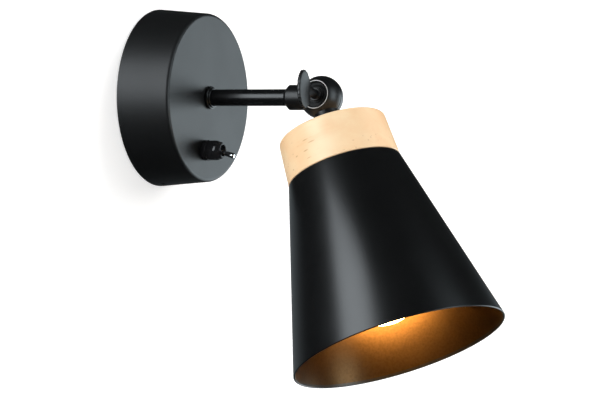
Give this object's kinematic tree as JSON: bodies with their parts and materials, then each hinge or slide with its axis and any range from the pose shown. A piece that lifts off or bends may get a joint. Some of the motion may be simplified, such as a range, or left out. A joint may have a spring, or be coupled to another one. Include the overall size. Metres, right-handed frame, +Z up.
{
  "type": "wall reading lamp",
  "caption": "Bedside wall reading lamp: round wall canopy with a toggle switch, straight arm, clamped ball knuckle and a conical shade under a wooden cap.",
  "frame": {"origin": "centre of the canopy's back on the wall plane, on the arm's axis, midway between the two wall slots", "axes": "+X along the wall, +Z up, -Y out of the wall towards the room"},
  "size_m": [0.1408, 0.2565, 0.2513],
  "materials": {
    "black_coat": "fine satin powder coat, black",
    "black_enamel": "smooth semi-gloss black lacquer on die-cast metal",
    "zinc_steel": "zinc-plated steel, satin",
    "brass": "plain turned or pressed brass",
    "beech": "pale turned hardwood, clear satin lacquer",
    "porcelain": "white glazed porcelain",
    "black_plastic": "moulded black phenolic, satin",
    "switch_trim": "glossy black moulding",
    "white_plastic": "natural white polyamide",
    "chrome": "bright chrome plate",
    "bulb_glass": "frosted, lit warm white",
    "bulb_metal": "pressed aluminium screw cap",
    "bulb_insulator": "dark vitrified glass insulator"
  },
  "bodies": {
    "wall_body": {"canopy_shell": "black_coat", "wall_bracket": "zinc_steel", "canopy_screws": "black_coat", "terminal_block": "white_plastic", "terminal_screws": "brass", "terminal_fix_screw": "zinc_steel", "earth_washer": "brass", "earth_screw": "brass", "arm_toothed_washer": "zinc_steel", "arm_lock_nut": "zinc_steel", "arm_nipple": "zinc_steel", "arm_collar": "black_enamel", "arm_tube": "black_enamel", "knuckle_arm_half": "black_enamel", "switch_body": "black_plastic", "switch_lugs": "brass", "switch_bushing": "zinc_steel", "lever_pin": "zinc_steel", "switch_inner_nut": "zinc_steel", "switch_flange": "switch_trim", "switch_dress_nut": "switch_trim"},
    "head": {"knuckle_head_half": "black_enamel", "head_nipple": "zinc_steel", "wood_cap": "beech", "head_washer": "zinc_steel", "head_nut": "zinc_steel", "shade": "black_coat", "lampholder_cap": "black_plastic", "lampholder_body": "porcelain", "lampholder_thread_shell": "brass", "lampholder_contact": "brass", "shade_ring": "black_plastic", "bulb_contact": "brass", "bulb_insulator": "bulb_insulator", "bulb_cap": "bulb_metal", "bulb_glass": "bulb_glass"},
    "clamp_carrier": {"clamp_washer": "black_enamel"},
    "thumb_screw": {"thumb_screw": "black_enamel"},
    "toggle_lever": {"toggle_lever": "chrome"}
  },
  "joints": [
    {"name": "head_tilt", "type": "hinge", "parent": "wall_body", "child": "head", "pos_m": [0, -0.121, 0], "axis": [-1, 0, 0], "range_deg": [-38, 155]},
    {"name": "thumb_travel", "type": "slide", "parent": "wall_body", "child": "clamp_carrier", "axis": [-1, 0, 0], "range_m": [0, 0.0008]},
    {"name": "thumb_turn", "type": "hinge", "parent": "clamp_carrier", "child": "thumb_screw", "pos_m": [0, -0.121, 0], "axis": [-1, 0, 0], "range_deg": [0, 360]},
    {"name": "lever_throw", "type": "hinge", "parent": "wall_body", "child": "toggle_lever", "pos_m": [0, -0.046, -0.036], "axis": [-1, 0, 0], "range_deg": [0, 31.6]}
  ],
  "couplings": [
    {"joint": "thumb_travel", "follows": "thumb_turn", "m_per_rad": 0.00012732}
  ]
}
